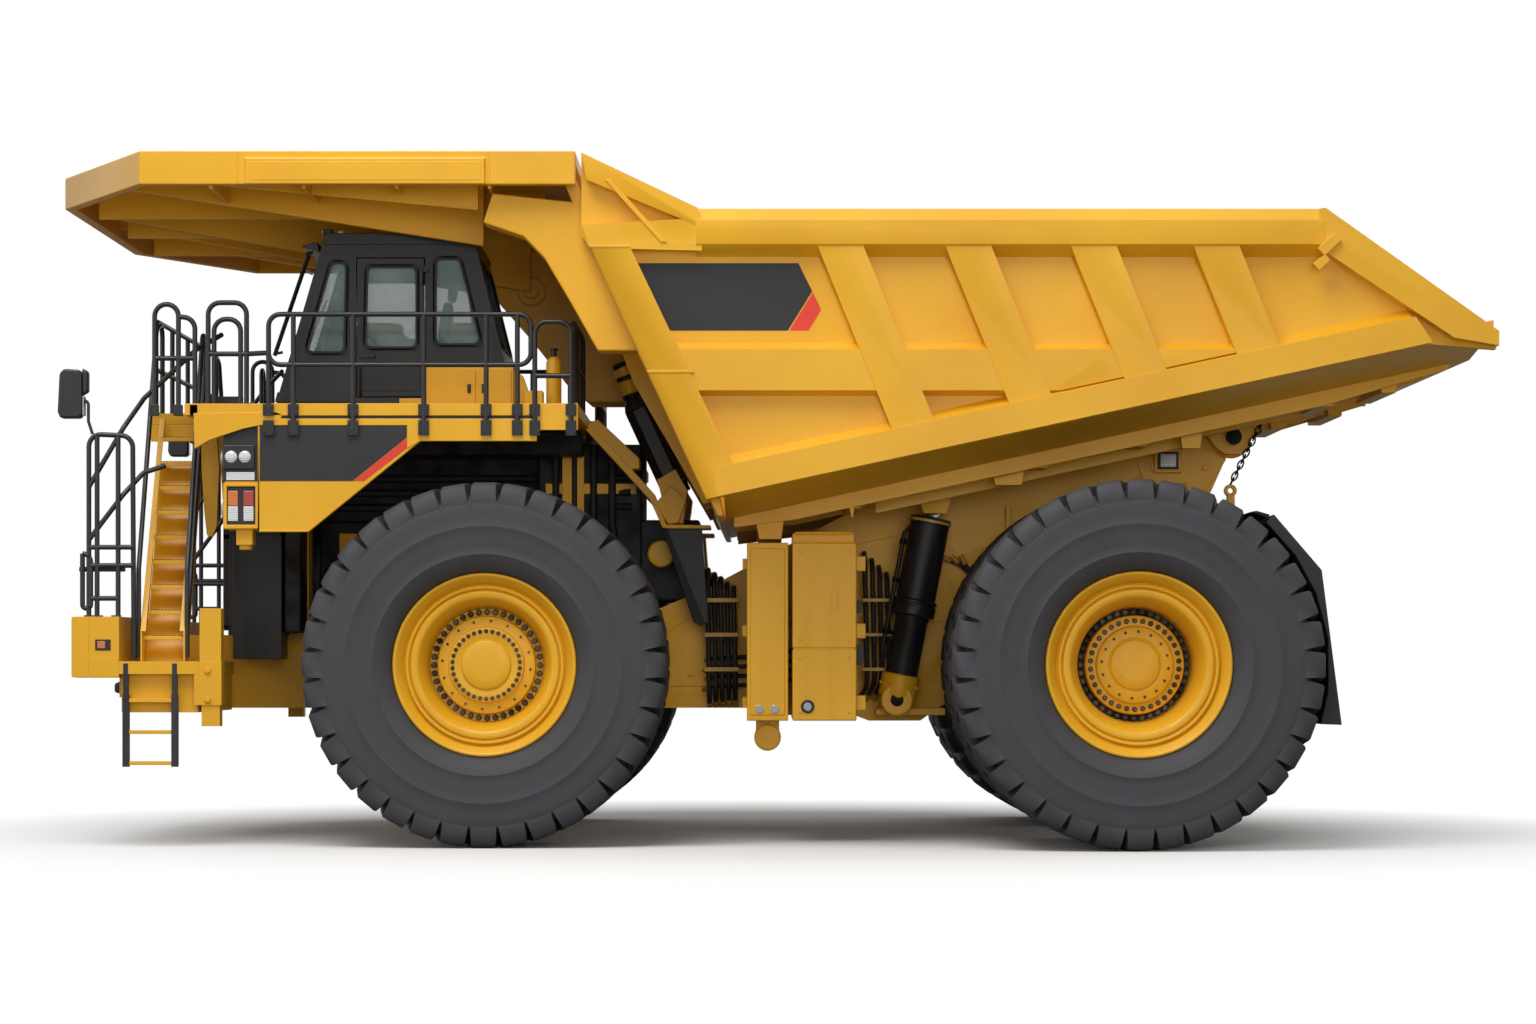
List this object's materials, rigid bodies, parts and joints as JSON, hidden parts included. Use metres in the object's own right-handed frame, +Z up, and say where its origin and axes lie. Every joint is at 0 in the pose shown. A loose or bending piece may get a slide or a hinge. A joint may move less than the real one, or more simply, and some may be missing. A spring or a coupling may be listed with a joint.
{
  "type": "mining dump truck",
  "caption": "Rigid-frame off-highway haul truck with a tipping bed, canopy over the cab, twin rear wheels, steered front wheels and telescopic hoists.",
  "frame": {"origin": "on the ground under the middle of the overall box", "axes": "+Z up, -X toward the front of the truck, -Y toward its left side with the cab"},
  "size_m": [15.81, 9.49, 7.52],
  "materials": {
    "paint_yellow": "satin yellow machine paint",
    "paint_black": "satin black paint",
    "tyre_rubber": "matt dark grey rubber",
    "flap_rubber": "matt black rubber sheet",
    "cab_glass": "clear tinted glass",
    "dark_steel": "dark oily steel and cast iron",
    "seat_fabric": "woven seat cover"
  },
  "bodies": {
    "chassis": {"main_frame": "paint_yellow", "front_bumper": "paint_yellow", "engine": "dark_steel", "radiator": "paint_black", "drive_line": "dark_steel", "rear_axle": "paint_yellow", "rear_strut_left": "dark_steel", "rear_strut_right": "dark_steel", "upper_deck": "paint_yellow", "cab_shell": "paint_black", "windscreen": "cab_glass", "rear_glass": "cab_glass", "quarter_glass": "cab_glass", "left_rear_glass": "cab_glass", "right_glass": "cab_glass", "operator_seat": "seat_fabric", "steering_column": "paint_black", "air_cleaner": "paint_yellow", "front_handrail": "paint_black", "hydraulic_tank": "paint_yellow", "hoist_oil_tank": "paint_yellow", "fuel_tank": "paint_yellow", "front_strut_left": "dark_steel", "stairway_left": "paint_yellow", "deck_handrail_left": "paint_black", "access_rail_left": "paint_black", "exhaust_left": "paint_black", "mudflap_left": "flap_rubber", "front_strut_right": "dark_steel", "stairway_right": "paint_yellow", "deck_handrail_right": "paint_black", "access_rail_right": "paint_black", "exhaust_right": "paint_black", "mudflap_right": "flap_rubber"},
    "cab_door": {"cab_door": "paint_black", "door_glass": "cab_glass"},
    "dump_bed": {"bed_floor": "paint_yellow", "bed_front_wall": "paint_yellow", "bed_canopy": "paint_yellow", "bed_side_left": "paint_yellow", "bed_side_right": "paint_yellow"},
    "left_knuckle": {"knuckle_left": "dark_steel"},
    "right_knuckle": {"knuckle_right": "dark_steel"},
    "tie_rod_bar": {"tie_rod": "dark_steel"},
    "front_left_wheel": {"front_left_tyre": "tyre_rubber", "front_left_rim": "paint_yellow"},
    "front_right_wheel": {"front_right_tyre": "tyre_rubber", "front_right_rim": "paint_yellow"},
    "rear_left_wheel": {"rear_left_outer_tyre": "tyre_rubber", "rear_left_inner_tyre": "tyre_rubber", "rear_left_rim": "paint_yellow"},
    "rear_right_wheel": {"rear_right_outer_tyre": "tyre_rubber", "rear_right_inner_tyre": "tyre_rubber", "rear_right_rim": "paint_yellow"},
    "left_hoist_barrel": {"hoist_barrel_left": "paint_black"},
    "left_hoist_stage": {"hoist_stage_left": "dark_steel"},
    "left_hoist_rod": {"hoist_rod_left": "dark_steel"},
    "right_hoist_barrel": {"hoist_barrel_right": "paint_black"},
    "right_hoist_stage": {"hoist_stage_right": "dark_steel"},
    "right_hoist_rod": {"hoist_rod_right": "dark_steel"}
  },
  "joints": [
    {"name": "bed_tilt", "type": "hinge", "parent": "chassis", "child": "dump_bed", "pos_m": [5.465, 0, 4.65], "axis": [0, 1, 0], "range_deg": [0, 45]},
    {"name": "cab_door_swing", "type": "hinge", "parent": "chassis", "child": "cab_door", "pos_m": [-3.804, -2.928, 5.6], "axis": [0, 0, 1], "range_deg": [0, 90]},
    {"name": "steer_left", "type": "hinge", "parent": "chassis", "child": "left_knuckle", "pos_m": [-3.035, -2, 2], "axis": [0, 0, 1], "range_deg": [-40, 40]},
    {"name": "steer_right", "type": "hinge", "parent": "chassis", "child": "right_knuckle", "pos_m": [-3.035, 2, 2], "axis": [0, 0, 1], "range_deg": [-40, 40]},
    {"name": "tie_rod_pivot", "type": "hinge", "parent": "left_knuckle", "child": "tie_rod_bar", "pos_m": [-2.235, -2, 1.34], "axis": [0, 0, 1], "range_deg": [-41, 41]},
    {"name": "front_left_wheel_spin", "type": "hinge", "parent": "left_knuckle", "child": "front_left_wheel", "pos_m": [-3.035, -3.262, 2], "axis": [0, 1, 0], "continuous": true},
    {"name": "front_right_wheel_spin", "type": "hinge", "parent": "right_knuckle", "child": "front_right_wheel", "pos_m": [-3.035, 3.262, 2], "axis": [0, 1, 0], "continuous": true},
    {"name": "rear_left_wheel_spin", "type": "hinge", "parent": "chassis", "child": "rear_left_wheel", "pos_m": [4.05, -3.985, 2], "axis": [0, 1, 0], "continuous": true},
    {"name": "rear_right_wheel_spin", "type": "hinge", "parent": "chassis", "child": "rear_right_wheel", "pos_m": [4.05, 3.985, 2], "axis": [0, 1, 0], "continuous": true},
    {"name": "hoist_left_swing", "type": "hinge", "parent": "chassis", "child": "left_hoist_barrel", "pos_m": [1.542, -1.7, 1.6], "axis": [0, 1, 0], "range_deg": [-0.5, 1]},
    {"name": "hoist_left_stage_slide", "type": "slide", "parent": "left_hoist_barrel", "child": "left_hoist_stage", "axis": [0.1874, 0, 0.9823], "range_m": [0, 1.3676]},
    {"name": "hoist_left_rod_slide", "type": "slide", "parent": "left_hoist_stage", "child": "left_hoist_rod", "axis": [0.1874, 0, 0.9823], "range_m": [0, 1.3676]},
    {"name": "hoist_right_swing", "type": "hinge", "parent": "chassis", "child": "right_hoist_barrel", "pos_m": [1.542, 1.7, 1.6], "axis": [0, 1, 0], "range_deg": [-0.5, 1]},
    {"name": "hoist_right_stage_slide", "type": "slide", "parent": "right_hoist_barrel", "child": "right_hoist_stage", "axis": [0.1874, 0, 0.9823], "range_m": [0, 1.3676]},
    {"name": "hoist_right_rod_slide", "type": "slide", "parent": "right_hoist_stage", "child": "right_hoist_rod", "axis": [0.1874, 0, 0.9823], "range_m": [0, 1.3676]}
  ],
  "couplings": [
    {"joint": "steer_right", "follows": "steer_left", "ratio": 1},
    {"joint": "tie_rod_pivot", "follows": "steer_left", "ratio": -1},
    {"joint": "hoist_left_swing", "follows": "bed_tilt", "ratio": -0.007404},
    {"joint": "hoist_left_stage_slide", "follows": "bed_tilt", "m_per_rad": 1.7387},
    {"joint": "hoist_left_rod_slide", "follows": "bed_tilt", "m_per_rad": 1.7387},
    {"joint": "hoist_right_swing", "follows": "bed_tilt", "ratio": -0.007404},
    {"joint": "hoist_right_stage_slide", "follows": "bed_tilt", "m_per_rad": 1.7387},
    {"joint": "hoist_right_rod_slide", "follows": "bed_tilt", "m_per_rad": 1.7387}
  ]
}
